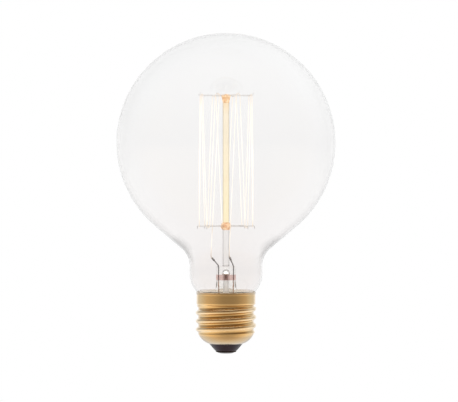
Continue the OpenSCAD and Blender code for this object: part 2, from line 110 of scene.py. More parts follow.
def line_to(bm, pen, x, z, cuts=0):
    """Draw a straight stroke to (x, z), divided by cuts."""
    start, end = pen.co.copy(), Vector((x, 0, z))
    for k in range(cuts + 1):
        pen = bmesh.ops.extrude_vert_indiv(bm, verts=[pen])["verts"][0]
        pen.co = start.lerp(end, (k + 1) / (cuts + 1))
    return pen


def arc_about(bm, pen, x, z, degrees, steps):
    """Draw a round stroke about the centre (x, z), clockwise where degrees is positive."""
    drawn = bmesh.ops.spin(
        bm, geom=[pen], cent=(x, 0, z), axis=(0, 1, 0), dvec=(0, 0, 0),
        angle=math.radians(degrees), steps=steps, use_merge=False, use_duplicate=False,
    )
    return next(e for e in drawn["geom_last"] if isinstance(e, bmesh.types.BMVert))


def lathe(start, *strokes, steps):
    """Turn strokes from start: ("line", x, z, cuts) or ("arc", centre x, centre z, degrees, steps)."""
    bm = bmesh.new()
    pen = bm.verts.new((start[0], 0, start[1]))
    for kind, *values in strokes:
        pen = line_to(bm, pen, *values) if kind == "line" else arc_about(bm, pen, *values)
    bmesh.ops.remove_doubles(bm, verts=bm.verts, dist=MERGE)
    bmesh.ops.spin(
        bm, geom=bm.verts[:] + bm.edges[:], cent=(0, 0, 0), axis=(0, 0, 1), dvec=(0, 0, 0),
        angle=math.tau, steps=steps, use_merge=True, use_duplicate=False,
    )
    bmesh.ops.remove_doubles(bm, verts=bm.verts, dist=MERGE)
    bmesh.ops.recalc_face_normals(bm, faces=bm.faces)
    return bm


print("pen and lathe ready")

# %% [markdown]
# The rest of the lamp is wire. A wire is one round face that is pushed along a path: extrude the
# face, then move and swing its new vertices to the next point. Corners in real wire are never
# sharp, so another helper rounds each corner of a path with a short curve before it is swept.

# %% A wire, and rounded corners
def stand_at(point, way):
    """The move that takes a shape from the origin to a point and turns its +Z the given way."""
    return Matrix.Translation(point) @ way.to_track_quat("Z", "Y").to_matrix().to_4x4()


def wire(points, radius, sides=10):
    """A closed tube of the radius along the points."""
    bm = bmesh.new()
    ways = [(b - a).normalized() for a, b in zip(points, points[1:])]
    heading = ways[0]
    stand = stand_at(points[0], heading)
    bmesh.ops.create_circle(bm, cap_ends=True, radius=radius, segments=sides, matrix=stand)
    face = bm.faces[:][0]
    for k in range(1, len(points)):
        turned = (ways[k - 1] + ways[min(k, len(ways) - 1)]).normalized()
        swing = heading.rotation_difference(turned).to_matrix().to_4x4()
        grown = bmesh.ops.extrude_face_region(bm, geom=[face])["geom"]
        face = next(e for e in grown if isinstance(e, bmesh.types.BMFace))
        bmesh.ops.transform(
            bm, matrix=Matrix.Translation(points[k]) @ swing @ Matrix.Translation(-points[k - 1]),
            verts=face.verts[:],
        )
        heading = turned
    bmesh.ops.recalc_face_normals(bm, faces=bm.faces)
    return bm


def rounded(points, reach, steps=6):
    """The path with each corner replaced by a curve that starts and ends at reach from it."""
    path = [points[0]]
    for before, corner, after in zip(points, points[1:], points[2:]):
        start = corner + (before - corner).normalized() * reach
        end = corner + (after - corner).normalized() * reach
        for k in range(steps + 1):
            t = k / steps
            path.append(start.lerp(corner, t).lerp(corner.lerp(end, t), t))
    path.append(points[-1])
    return path


print("wire ready")

# %% [markdown]
# A finish is a material on Blender's Principled shader. What is the same all over a surface is set
# on the shader's own sockets. What varies, such as tarnish, comes from noise and ramps that read
# Object coordinates, so a pattern stays fixed to its piece however the lamp is turned.

# %% Helpers for finishes
def new_finish(name, **sockets):
    """A material whose Principled sockets are set, such as Base_Color or Roughness."""
    material = bpy.data.materials.new(name)
    material.use_nodes = True
    shader = material.node_tree.nodes["Principled BSDF"]
    for socket, value in sockets.items():
        shader.inputs[socket.replace("_", " ")].default_value = value
    return material, material.node_tree, shader


def feed(shader, **sockets):
    """Link what varies over the surface to the shader's sockets."""
    for socket, source in sockets.items():
        shader.id_data.links.new(source, shader.inputs[socket.replace("_", " ")])


def add(tree, kind, inputs=None, **settings):
    """A new node, with its settings and its inputs by name or number: values, or sockets to link."""
    node = tree.nodes.new(kind)
    for name, value in settings.items():
        setattr(node, name, value)
    for name, value in (inputs or {}).items():
        if isinstance(value, bpy.types.NodeSocket):
            tree.links.new(value, node.inputs[name])
        else:
            node.inputs[name].default_value = value
    return node


def place(tree, stretch=(1, 1, 1)):
    """Object coordinates, stretched along the axes."""
    coordinates = add(tree, "ShaderNodeTexCoord").outputs["Object"]
    return add(tree, "ShaderNodeMapping", {"Vector": coordinates, "Scale": stretch}).outputs[0]


def grain(tree, scale, detail=4, stretch=(1, 1, 1)):
    """Noise of so many features a metre, from 0 to 1."""
    spot = {"Vector": place(tree, stretch), "Scale": scale, "Detail": detail, "Roughness": 0.6}
    return add(tree, "ShaderNodeTexNoise", spot).outputs["Fac"]


def ramp(tree, factor, *stops):
    """A colour ramp over a factor. Each stop is (position, colour or grey level)."""
    node = add(tree, "ShaderNodeValToRGB", {"Fac": factor})
    while len(node.color_ramp.elements) < len(stops):
        node.color_ramp.elements.new(1)
    for element, (position, colour) in zip(node.color_ramp.elements, stops):
        element.position = position
        element.color = (*colour, 1) if isinstance(colour, tuple) else (colour, colour, colour, 1)
    return node.outputs["Color"]


print("noise and ramps ready")

# %% [markdown]
# Many finishes follow the lamp itself: the thread is browner in its grooves, glass is darker at the neck.
# So the next helpers tell where a point lies on the lamp, mix colours by that, and raise a fine
# relief. The last one paints shade on glass. Where its surface turns away from the eye, light goes a
# longer way through it, and there its colour is darkened as painted shade; Layer Weight can tell where that
# is.

# %% Helpers that follow the lamp
def share(tree, value, start, end):
    """A value's place between start and end, from 0 to 1."""
    return add(tree, "ShaderNodeMapRange", {"Value": value, "From Min": start, "From Max": end}).outputs[0]


def height(tree, start, end):
    """Height up the lamp's axis, as a share of the way from start to end."""
    z = add(tree, "ShaderNodeSeparateXYZ", {"Vector": place(tree)}).outputs["Z"]
    return share(tree, z, start, end)


def distance_along(tree, axes, start, end):
    """Distance from the origin along the axes that are 1, as a share of the way from start to end."""
    far = add(tree, "ShaderNodeVectorMath", {0: place(tree, axes)}, operation="LENGTH").outputs["Value"]
    return share(tree, far, start, end)


def mix(tree, factor, first, second, blend="MIX"):
    """Two colours mixed by a factor, or multiplied. Sockets 6 and 7 and output 2 are the colours'."""
    inputs = {"Factor": factor, 6: first, 7: second}
    return add(tree, "ShaderNodeMix", inputs, data_type="RGBA", blend_type=blend).outputs[2]


def combine(tree, first, second, operation):
    """Two values put together by arithmetic."""
    return add(tree, "ShaderNodeMath", {0: first, 1: second}, operation=operation).outputs[0]


def relief(shader, level, strength, depth):
    """Bump the surface by a level, to a depth in metres."""
    bump = {"Height": level, "Strength": strength, "Distance": depth}
    feed(shader, Normal=add(shader.id_data, "ShaderNodeBump", bump).outputs["Normal"])


def painted_dark_edges(tree, colour, level, start, end):
    """A glass colour with painted shade: it darkens to a level where the surface turns away."""
    facing = add(tree, "ShaderNodeLayerWeight", {"Blend": 0.5}).outputs["Facing"]
    return mix(tree, share(tree, facing, start, end), colour, level, "MULTIPLY")


print("measures and mixes ready")

# %% [markdown]
# A finished mesh becomes a piece of the lamp. The object stays at the origin with its place in its
# mesh, its faces shade smoothly except across real edges, it rides on the lamp's only body, and it
# hides the CAD nodes that it stands for.

# %% Put a piece on the lamp
def new_object(name, data):
    """An object of a mesh, a light or a lens, put in the scene."""
    made = bpy.data.objects.new(name, data)
    bpy.context.scene.collection.objects.link(made)
    return made


def piece(name, bm, finish, slot, *nodes, edge=40):
    """Make an object of the mesh. Edges sharper than edge degrees stay crisp."""
    mesh = bpy.data.meshes.new(name)
    bm.to_mesh(mesh)
    bm.free()
    mesh.shade_smooth()
    mesh.set_sharp_from_angle(angle=math.radians(edge))
    mesh.materials.append(finish)
    made = new_object(name, mesh)
    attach(made, "root")
    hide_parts(*nodes)
    print(f"{name}: {len(mesh.polygons)} faces")


# %% [markdown]
# The globe is blown soda glass, about as thick as two eggshells. It could be a sphere joined to a
# cylinder, but blown glass has no joins: the ball runs into a straight shoulder, the shoulder into a
# hollow curve, and the neck draws in again where the cap goes on. One outline with three tangent
# arcs gives that, and solidify then grows the real wall, which makes the thin grey rim of a clear
# bulb. Glass shows every flat face along its edge, so it is turned in many fine steps.

# %% Blown globe
glass_wall = 0.8 * MM
shoulder = math.radians(50)
shoulder_fillet = 10 * MM
neck_r = 15.8 * MM
neck_length = 3.2 * MM
neck_curve = 12 * MM
seal_r = 11.4 * MM

globe_r = high("glass_globe").x
globe_z = crown_z - globe_r
fillet_x = neck_r + shoulder_fillet
fillet_z = globe_z - (globe_r + shoulder_fillet - fillet_x * math.cos(shoulder)) / math.sin(shoulder)
shoulder_x = fillet_x - shoulder_fillet * math.cos(shoulder)
shoulder_z = fillet_z + shoulder_fillet * math.sin(shoulder)
neck_z = fillet_z - neck_length
curve_x = neck_r - neck_curve
draw_in = math.degrees(math.acos((seal_r - curve_x) / neck_curve))

globe = lathe(
    (0, crown_z),
    ("arc", 0, globe_z, 90 + math.degrees(shoulder), 96),
    ("line", shoulder_x, shoulder_z, 5),
    ("arc", fillet_x, fillet_z, -math.degrees(shoulder), 16),
    ("line", neck_r, neck_z, 3),
    ("arc", curve_x, neck_z, draw_in, 18),
    ("line", seal_r, seal_z, 5),
    steps=256,
)
bmesh.ops.solidify(globe, geom=globe.faces[:], thickness=glass_wall)
print(f"globe {2 * globe_r / MM:.1f} mm across, neck {2 * neck_r / MM:.1f} mm")

# %% [markdown]
# Clear glass is a Principled shader with full transmission. It is never quite clear: soda glass
# takes a few per cent of the light, and its colour is a little darker towards the neck as painted shade.
# In the hollow curve its edges get the deepest painted shade. A slow noise bends the normals very
# slightly, because blown glass is a little wavy.

# %% Clear glass
clear_glass, tree, shader = new_finish("clear_glass", Transmission_Weight=1, IOR=1.5, Roughness=0.0)
climb = height(tree, seal_z, crown_z)
# Painted shade: the glass colour darkens towards the neck.
glass_tint_and_shade = ramp(
    tree, climb, (0.06, (0.99, 0.985, 0.98)), (0.08, (0.934, 0.916, 0.909)), (0.24, (0.94, 0.924, 0.919)),
    (0.4, (0.955, 0.948, 0.945)), (0.61, (0.964, 0.961, 0.96)), (0.82, 0.984), (1.0, 1.0),
)
# Painted shade: the glass edges darken most in the hollow curve of the neck.
painted_neck_edge_shade = ramp(tree, climb, (0.17, 0.95), (0.2, 0.6), (0.25, 0.6), (0.28, 1.0))
feed(shader, Base_Color=painted_dark_edges(tree, glass_tint_and_shade, painted_neck_edge_shade, 0.55, 0.75))
relief(shader, grain(tree, 30, detail=0), 0.04, 0.3 * MM)
piece("blown_globe", globe, clear_glass, "clear_glass", "glass_globe")

# %% [markdown]
# The stem is a second tube inside the neck. Its lower end flares out to meet the globe, and its top
# is solid, with a pocket for the exhaust tube that swells to a bubble round the tube's end. The pinch
# at its top is flat, but the rest is round, so the stem is turned first, with enough rows to be bent.

# %% Turned stem
stem_r = 4.6 * MM
stem_wall = 0.8 * MM
flare_r = 5 * MM
press_length = 6 * MM
press_rim = 0.9 * MM
bubble_r = 1.9 * MM
bubble_rise = 0.9 * MM
exhaust_r = 1.3 * MM
air_gap = 0.04 * MM

press_z = press_top - press_length
flare_z = seal_z + flare_r
flare_x = stem_r + flare_r
flare_low = seal_z - stem_wall
bore_r = stem_r - stem_wall
vent_z = high("exhaust_tube").z - exhaust_r
pocket_r = exhaust_r + air_gap

stem = lathe(
    (0, press_top),
    ("line", stem_r - press_rim, press_top, 3),
    ("arc", stem_r - press_rim, press_top - press_rim, 90, 6),
    ("line", stem_r, flare_z, 36),
    ("arc", flare_x, flare_z, -90, 12),
    ("line", seal_r, seal_z),
    ("line", seal_r, flare_low),
    ("line", flare_x, flare_low),
    ("arc", flare_x, flare_z, 90, 12),
    ("line", bore_r, press_z - air_gap, 30),
    ("line", pocket_r, press_z, 4),
    ("line", pocket_r, vent_z - bubble_rise, 4),
    ("line", bubble_r, vent_z, 4),
    ("arc", 0, vent_z, -90, 12),
    steps=128,
)
print(f"stem tube {2 * stem_r / MM:.1f} mm, flare {2 * seal_r / MM:.1f} mm")

# %% [markdown]
# While soft, the stem's top was pinched flat between two jaws, with the wires and the exhaust tube
# caught in it. The same is done here: the round sections are pressed into boxes with round corners,
# a little more with every row up to the pinch, the outside into a flat bar and the bore into a slot.
# Moving the turned vertices keeps the wall whole, which two joined shapes wouldn't.

# %% Pinch
press_half = 2.2 * MM
press_narrow = 0.93
tent_height = 4 * MM
slot_half = pocket_r + 0.1 * MM
CORNER_POWER = 16


def smooth_step(t):
    """A smooth rise from 0 to 1."""
    t = min(max(t, 0), 1)
    return t * t * (3 - 2 * t)


def box_radius(angle, half_x, half_y):
    """Distance from the middle of a box to its side at an angle. A high power makes its corners tight."""
    across_x = abs(math.cos(angle) / half_x) ** CORNER_POWER
    across_y = abs(math.sin(angle) / half_y) ** CORNER_POWER
    return (across_x + across_y) ** (-1 / CORNER_POWER)


for vert in stem.verts:
    radius = vert.co.xy.length
    angle = math.atan2(vert.co.y, vert.co.x)
    pinch = smooth_step((vert.co.z - press_z) / tent_height + 1)
    if radius > bore_r + MERGE or vert.co.z > press_top - MERGE:
        bar_r = box_radius(angle, press_narrow * stem_r, press_half)
        vert.co.xy *= 1 + (bar_r / stem_r - 1) * pinch
    elif radius > pocket_r + MERGE and vert.co.z < press_z:
        slot_r = bore_r + (box_radius(angle, bore_r, slot_half) - bore_r) * pinch
        vert.co.xy *= (pocket_r + (radius - pocket_r) * (slot_r - pocket_r) / (bore_r - pocket_r)) / radius
print(f"pinch {press_length / MM:.0f} mm long, {2 * press_half / MM:.1f} mm thick")

# %% [markdown]
# In the pinch the glass looks red, because sealing wire carries a coat of red oxide that the thick
# glass spreads across its whole width. So the stem's glass is clear except for one band, where the
# sealing wires sit: its transmitted colour changes with height. In the band's middle, round the
# exhaust tube, two layers of glass lie behind each other and the red is deeper. The flare, down in
# the cap, catches the light that runs down the neck, so it has a soft painted glow.

# %% Stem glass
band_low = low("left_seal_wire").z
band_high = high("left_seal_wire").z
band_room = 1 * MM
stem_glass, tree, shader = new_finish(
    "stem_glass", Transmission_Weight=1, IOR=1.4, Roughness=0.0, Emission_Color=(1.0, 0.98, 0.95, 1)
)
climb = height(tree, band_low - band_room, band_high + band_room)
band = ramp(tree, climb, (0.28, 0.0), (0.33, 1.0), (0.76, 1.0), (0.84, 0.0))
from_tube = distance_along(tree, (1, 0, 0), exhaust_r, 1.3 * exhaust_r)
red = ramp(tree, from_tube, (0.2, (0.56, 0.37, 0.33)), (0.9, (0.72, 0.52, 0.48)))
# Painted glow: emission on the flare, for the light that runs down the neck.
painted_flare_glow = ramp(tree, height(tree, seal_z, cap_top), (0.6, 0.2), (0.8, 0.0))
feed(shader, Base_Color=mix(tree, band, (0.99, 0.99, 0.98, 1), red), Emission_Strength=painted_flare_glow)
relief(shader, grain(tree, 220, detail=1), 0.15, 0.2 * MM)
piece("pinched_stem", stem, stem_glass, "stem_glass", "glass_stem")

# %% [markdown]
# The exhaust tube is how the lamp was emptied of air: a thin tube caught in the pinch, melted shut
# at its lower tip once the pump had done its work. Its outside is turned with two round ends, and
# solidify makes the bore. It takes on the red of the pinch round it. Below its round top a dark band
# is painted shade, and the top, in the bubble, has a painted glow for the light that it gathers.

# %% Exhaust tube
exhaust_bore = 0.7 * MM
exhaust_tip = low("exhaust_tube").z + exhaust_r
exhaust = lathe(
    (0, vent_z + exhaust_r),
    ("arc", 0, vent_z, 90, 8),
    ("line", exhaust_r, exhaust_tip, 12),
    ("arc", 0, exhaust_tip, 90, 8),
    steps=32,
)
bmesh.ops.solidify(exhaust, geom=exhaust.faces[:], thickness=exhaust_r - exhaust_bore)
tube_glass, tree, shader = new_finish("tube_glass", Transmission_Weight=1, IOR=1.25, Emission_Strength=0.7)
climb = height(tree, band_low, vent_z + exhaust_r)
# Red of the pinch, then a dark band of painted shade, then pale painted light at the top.
glass_tint_and_shade = ramp(
    tree, climb, (0.1, (1.0, 0.99, 0.98)), (0.14, (0.74, 0.66, 0.64)), (0.5, (0.72, 0.64, 0.62)),
    (0.6, (0.45, 0.38, 0.33)), (0.66, (0.98, 0.94, 0.84)), (0.8, (1.0, 0.98, 0.92)),
)
painted_glow = ramp(tree, climb, (0.62, 0.0), (0.68, (0.85, 0.8, 0.66)), (0.95, (0.95, 0.93, 0.84)))
feed(shader, Base_Color=glass_tint_and_shade, Emission_Color=painted_glow)
relief(shader, grain(tree, 400, detail=1), 0.1, 0.1 * MM)
piece("drawn_exhaust", exhaust, tube_glass, "stem_glass", "exhaust_tube")

# %% [markdown]
# A glass rod stands on the pinch and carries everything above it. Its foot was melted on, so it
# spreads a little there. Between its two buttons it is soaked in the filament's light, so it shines
# yellow there and is clear below. That light is painted into the finish, as a yellow colour and a
# soft emission that follow the height, since tracing it through so many layers of glass would take
# far too long. Its edges are greyed as painted shade.

# %% Support rod
rod_r = 1.4 * MM
foot_spread = 0.4 * MM
rod_foot = press_top + air_gap
rod = lathe(
    (0, rod_foot),
    ("line", rod_r + foot_spread, rod_foot),
    ("arc", rod_r + foot_spread, rod_foot + foot_spread, 90, 8),
    ("line", rod_r, rod_top - air_gap, 40),
    ("line", 0, rod_top - air_gap),
    steps=32,
)
rod_glass, tree, shader = new_finish("rod_glass", Transmission_Weight=1, IOR=1.22)
climb = height(tree, lower_z, upper_z)
# Painted light: a yellow colour for the filament's light between the buttons.
painted_filament_light = ramp(
    tree, climb, (0.0, (1.0, 0.99, 0.98)), (0.02, (1.0, 0.89, 0.61)), (0.5, (1.0, 0.9, 0.69)),
    (0.85, (1.0, 0.9, 0.73)), (1.0, (1.0, 0.76, 0.48)),
)
# Painted shade: the rod's edges darken to grey.
edged = painted_dark_edges(tree, painted_filament_light, (0.42, 0.42, 0.42, 1), 0.35, 0.6)
painted_glow = ramp(tree, climb, (0.0, 0.0), (0.03, 0.08), (0.4, 0.06), (0.8, 0.05), (1.0, 0.08))
feed(shader, Base_Color=edged, Emission_Color=painted_filament_light, Emission_Strength=painted_glow)
relief(shader, grain(tree, 160, detail=1, stretch=(1, 1, 0.2)), 0.05, 0.2 * MM)
piece("support_rod_glass", rod, rod_glass, "stem_glass", "support_rod")

# %% [markdown]
# The cage's plan comes next, because buttons, wires and filament all follow it. The filament loops
# over eight upper wires and under seven lower ones in turn, at equal steps round the axis from the
# front. Even loops are upper ones. The plan is turned a few degrees, so that no strand hides another.

# %% Plan of the cage
hooks = 8
cage_turn = math.radians(4)
loop_step = math.pi / hooks
last_loop = 2 * hooks - 2
upper_loops = range(0, last_loop + 1, 2)
lower_loops = range(1, last_loop, 2)


def loop_azimuth(k):
    """Direction of loop k, from the front towards +X."""
    return cage_turn + loop_step * (k + 1)


def outward(azimuth):
    """A step away from the axis."""
    return Vector((math.sin(azimuth), -math.cos(azimuth), 0))


def sideways(azimuth):
    """A step round the axis."""
    return Vector((math.cos(azimuth), math.sin(azimuth), 0))


def up_to(z):
    """A step up the axis to height z."""
    return Vector((0, 0, z))


print(f"{len(upper_loops)} upper and {len(lower_loops)} lower loops")

# %% [markdown]
# The support wires were pushed into two beads of soft glass. Where a wire goes in, the glass has
# crept along it, so each bead has a small collar round every wire. The beads are turned, and the
# collars are pulled out of the surface afterwards: the nearer a vertex lies to a wire, the further
# it moves outwards. Separate rings would show a seam that melted glass doesn't have.

# %% Glass buttons
collar_height = 0.22 * MM
collar_width = 0.4 * MM
collar_from = 1.1 * rod_r


def pull_collars(bm, loops, z):
    """Draw the glass out along each wire that leaves at height z."""
    for vert in bm.verts:
        for k in loops:
            away = outward(loop_azimuth(k))
            off = vert.co - up_to(z) - away * vert.co.dot(away)
            if vert.co.dot(away) > 0 and vert.co.xy.length > collar_from:
                vert.co += away * collar_height * math.exp(-((off.length / collar_width) ** 2))


bead_r = 1.8 * MM
bead_x = 0.4 * MM
bead_bore = rod_r + air_gap
bead_reach = math.acos((bead_bore - bead_x) / bead_r)
bead_end = bead_r * math.sin(bead_reach)
lower_bead = lathe(
    (bead_bore, lower_z + bead_end),
    ("arc", bead_x, lower_z, 2 * math.degrees(bead_reach), 18),
    ("line", bead_bore, lower_z + bead_end, 3),
    steps=72,
)
pull_collars(lower_bead, lower_loops, lower_z)

head_r = 2 * MM
head_edge = 0.35 * MM
head_below = 0.3 * MM
head_taper = 0.5 * MM
head_foot = 1.05 * rod_r
head_top = high("upper_button").z
upper_head = lathe(
    (0, head_top),
    ("line", head_r - head_edge, head_top, 3),
    ("arc", head_r - head_edge, head_top - head_edge, 90, 5),
    ("line", head_r, upper_z - head_below, 3),
    ("line", head_foot, rod_top + head_taper, 6),
    ("line", rod_r, rod_top, 2),
    ("line", 0, rod_top),
    steps=72,
)
pull_collars(upper_head, upper_loops, upper_z)
print(f"bead {2 * (bead_x + bead_r) / MM:.1f} mm, head {2 * head_r / MM:.1f} mm across")

# %% [markdown]
# The beads gather the light of sixteen strands and look like amber sweets. Their amber colour and
# glow are painted light: they are half clear and half glowing, brighter in some spots than in others.

# %% Amber glass
amber_glass, tree, shader = new_finish("amber_glass", Transmission_Weight=0.5, IOR=1.52, Roughness=0.12)
spots = grain(tree, 900, detail=2)
# Painted light: the amber colour and glow stand for the strands' light on the glass.
painted_amber_light = ramp(tree, spots, (0.35, (0.8, 0.46, 0.21)), (0.5, (0.88, 0.61, 0.35)), (0.66, (0.95, 0.78, 0.54)))
painted_glow = ramp(tree, spots, (0.35, 0.16), (0.65, 0.36))
feed(shader, Base_Color=painted_amber_light, Emission_Color=painted_amber_light, Emission_Strength=painted_glow)
piece("lower_bead", lower_bead, amber_glass, "amber_glass", "lower_button")
piece("upper_head", upper_head, amber_glass, "amber_glass", "upper_button")

# %% [markdown]
# Fifteen support wires hold the filament out. Each one leaves its button, runs out level past the
# loop that hangs on it, and ends in a small turned tip that keeps the loop from sliding off: up on
# the upper wires, down on the lower ones. A loop over the wires makes them all with the same path.
# Their colour and their dullness follow one noise. Later metals do so too, so that is a helper.

# %% Support wires
cage_r = 11.6 * MM
filament_r = 0.15 * MM
loop_gap = 0.03 * MM
hook_bend = 0.5 * MM
hook_tip = 0.5 * MM
hook_root = rod_r + 0.3 * MM
hook_reach = cage_r + filament_r + hook_r + loop_gap + hook_bend


def stained_metal(name, scale, detail, dark, light, shiny, dull, light_at=0.65, **sockets):
    """A bare metal whose colour and roughness follow one noise. Returns the finish, its nodes and noise."""
    finish, tree, shader = new_finish(name, Metallic=1, **sockets)
    noise = grain(tree, scale, detail=detail)
    colour = ramp(tree, noise, (0.35, dark), (light_at, light))
    feed(shader, Base_Color=colour, Roughness=ramp(tree, noise, (0.3, shiny), (0.7, dull)))
    return finish, tree, shader, noise


def metal_wire(name, dark, light, painted_glow_level):
    """A drawn wire whose grey varies between dark and light, with a painted glow for the filament's light
    towards the top.
    """
    finish, tree, shader, _ = stained_metal(
        name, 1800, 3, dark, light, 0.32, 0.55, Emission_Color=(0.92, 0.92, 0.92, 1)
    )
    # Painted glow: emission that grows towards the top, for the filament's light on the wire.
    feed(shader, Emission_Strength=ramp(tree, height(tree, lower_z, upper_z), (0.0, 0.0), (1.0, painted_glow_level)))
    return finish


pale_wire = metal_wire("pale_wire", (0.66, 0.63, 0.6), (0.94, 0.92, 0.9), 0.16)
for label, loops, z, turned in (("upper", upper_loops, upper_z, 1), ("lower", lower_loops, lower_z, -1)):
    for i, k in enumerate(loops, 1):
        away = outward(loop_azimuth(k))
        corner = away * hook_reach + up_to(z)
        tip = corner + up_to(turned * (hook_bend + hook_tip))
        path = rounded([away * hook_root + up_to(z), corner, tip], hook_bend)
        piece(f"{label}_wire_{i}", wire(path, hook_r), pale_wire, "support_wire", f"{label}_hook_{i}")

# %% [markdown]
# Two lead wires come out of the pinch, bend towards the front and end in clamps that grip the
# filament's ends. The left one leans out further than the right one. Each is given by where it
# stands, the way that it heads and how far it leans, so its tip can be asked for again further down.

# %% Lead wires
lead_r = 0.25 * MM
lead_rise = 0.2 * MM
lead_corner = 0.9 * MM
lead_length = 4.4 * MM
lead_foot = low("left_lead").z
lead_side = {"left": -3.2 * MM, "right": 3.2 * MM}
lead_heading = {"left": math.radians(223), "right": math.radians(243)}
lead_lean = {"left": math.radians(47), "right": math.radians(42)}


def lead_way(side):
    """The direction of a lead above its bend."""
    heading, lean = lead_heading[side], lead_lean[side]
    return Vector((math.cos(heading) * math.sin(lean), math.sin(heading) * math.sin(lean), math.cos(lean)))


def lead_kink(side):
    """Where a lead bends."""
    return Vector((lead_side[side], 0, press_top + lead_rise))


def lead_tip(side):
    """Where a lead ends, in the middle of its clamp."""
    return lead_kink(side) + lead_way(side) * lead_length


def bent_lead(side):
    """A lead from the pinch to its tip, with its bend rounded."""
    foot = Vector((lead_side[side], 0, lead_foot))
    return wire(rounded([foot, lead_kink(side), lead_tip(side)], lead_corner), lead_r, 14)


print("leads end", [round(lead_tip(side).z / MM, 1) for side in lead_side], "mm up")

# %% [markdown]
# A clamp is a short tube, squeezed in the middle with pliers so that lead and filament stay in it.
# The lathe only turns about the lamp's axis, so a clamp is made there, waist and all, and then laid
# along the lead's end with one transform. Leads and clamps share one finish, a darker wire.

# %% Clamps
clamp_r = 0.475 * MM
clamp_half = 0.9 * MM
clamp_waist = 0.38 * MM
waist_end = 0.35 * clamp_half
waist_flat = 0.15 * clamp_half


def crimped_clamp(side):
    """A short tube with a squeezed waist, laid along the lead's end."""
    corner = clamp_r - clamp_waist
    bm = lathe(
        (0, clamp_half),
        ("line", clamp_r - corner, clamp_half, 1),
        ("arc", clamp_r - corner, clamp_half - corner, 90, 4),
        ("line", clamp_r, waist_end, 1),
        ("line", clamp_waist, waist_flat, 1),
        ("line", clamp_waist, -waist_flat, 1),
        ("line", clamp_r, -waist_end, 1),
        ("line", clamp_r, corner - clamp_half, 1),
        ("arc", clamp_r - corner, corner - clamp_half, 90, 4),
        ("line", 0, -clamp_half, 1),
        steps=24,
    )
    bmesh.ops.transform(bm, matrix=stand_at(lead_tip(side), lead_way(side)), verts=bm.verts)
    return bm


dark_wire = metal_wire("dark_wire", (0.2, 0.19, 0.19), (0.5, 0.48, 0.47), 0.0)
for side in lead_side:
    piece(f"{side}_lead_wire", bent_lead(side), dark_wire, "lead_wire", f"{side}_lead")
    piece(f"{side}_crimp", crimped_clamp(side), dark_wire, "lead_wire", f"{side}_clamp")

# %% [markdown]
# The filament is one thread from clamp to clamp: up to a hook, over it, down to the next one, under
# that, and so on, sixteen strands in all. Its path is a list of points: a half circle at every hook,
# and a strand between hooks that bows out a little, because a thread at this heat is never taut.

# %% Loops and strands
loop_r = 0.9 * MM
loop_points = 14
strand_bow = 0.12 * MM
strand_steps = 14
bow_spread = 0.6
bow_turn = 2.4
hang = hook_r + filament_r + loop_gap
loop_z = {1: upper_z + hang - loop_r, -1: lower_z - hang + loop_r}


def loop_over(k):
    """Points over loop k, from the strand that arrives to the strand that leaves."""
    side = sideways(loop_azimuth(k)) * loop_r
    up = 1 if k in upper_loops else -1
    middle = outward(loop_azimuth(k)) * cage_r + up_to(loop_z[up])
    turns = [math.pi * i / loop_points for i in range(loop_points + 1)]
    return [middle - side * math.cos(t) + up_to(up * loop_r * math.sin(t)) for t in turns]


def strand(start, end, k):
    """Points between two loops. Neighbouring strands bow by different amounts."""
    bow = strand_bow * (1 + bow_spread * math.sin(bow_turn * k))
    points = []
    for i in range(1, strand_steps):
        t = i / strand_steps
        point = start.lerp(end, t)
        away = Vector((point.x, point.y, 0)).normalized()
        points.append(point + away * bow * math.sin(math.pi * t) ** 2)
    return points


print(f"loops {2 * loop_r / MM:.1f} mm wide")

# %% [markdown]
# Now loops and strands are joined in the order in which the thread was wound, from the right clamp
# round the back to the left one. One list of points, and later one tube along all of it, keeps the
# filament unbroken, where sixteen tubes would gape at every hook.

# %% One thread
def filament_end(side, hook):
    """Points from a clamp's middle to where the end strand runs straight at its hook."""
    knee = lead_tip(side) + lead_way(side) * 2 * clamp_half
    return rounded([lead_tip(side), knee, hook], clamp_half, 8)[:-1]


thread = filament_end("right", loop_over(0)[0])
thread += strand(thread[-1], loop_over(0)[0], 0)
for k in range(last_loop + 1):
    thread += loop_over(k)
    if k < last_loop:
        thread += strand(loop_over(k)[-1], loop_over(k + 1)[0], k + 1)
left_end = filament_end("left", loop_over(last_loop)[-1])
thread += strand(loop_over(last_loop)[-1], left_end[-1], last_loop + 1)
thread += left_end[::-1]
length = sum((b - a).length for a, b in zip(thread, thread[1:]))
print(f"filament {length:.2f} m long in {last_loop + 2} strands")

# %% [markdown]
# Carbon at work glows at about two thousand degrees. It is whitest halfway along a strand and
# cooler at the hooks and the clamps, which lead its heat away, so colour and strength follow the
# height. The thread itself is dark, which shows where it is coolest.

# %% Glowing thread
glow_strength = 1.4
hot_top = upper_z + 2 * MM
glowing_thread, tree, shader = new_finish("glowing_thread", Base_Color=(0.05, 0.045, 0.04, 1), Roughness=0.7)
climb = height(tree, lead_tip("left").z, hot_top)
heat = ramp(
    tree, climb, (0.0, (1.0, 0.72, 0.5)), (0.08, (1.0, 0.92, 0.8)), (0.15, (1.0, 0.92, 0.8)),
    (0.18, (1.0, 0.84, 0.66)), (0.24, (1.0, 0.93, 0.82)), (0.6, (1.0, 0.94, 0.84)), (0.9, (1.0, 0.92, 0.8)),
    (1.0, (1.0, 0.84, 0.7)),
)
level = ramp(
    tree, climb, (0.0, 0.3), (0.08, 0.95), (0.15, 0.95), (0.18, 0.7), (0.24, 0.95), (0.6, 1.0), (0.9, 0.95),
    (0.96, 0.85), (1.0, 0.6),
)
uneven = ramp(tree, grain(tree, 500, stretch=(1, 1, 0.1)), (0.3, 0.8), (0.7, 1.0))
glow = combine(tree, combine(tree, uneven, level, "MULTIPLY"), glow_strength, "MULTIPLY")
feed(shader, Emission_Color=heat, Emission_Strength=glow)
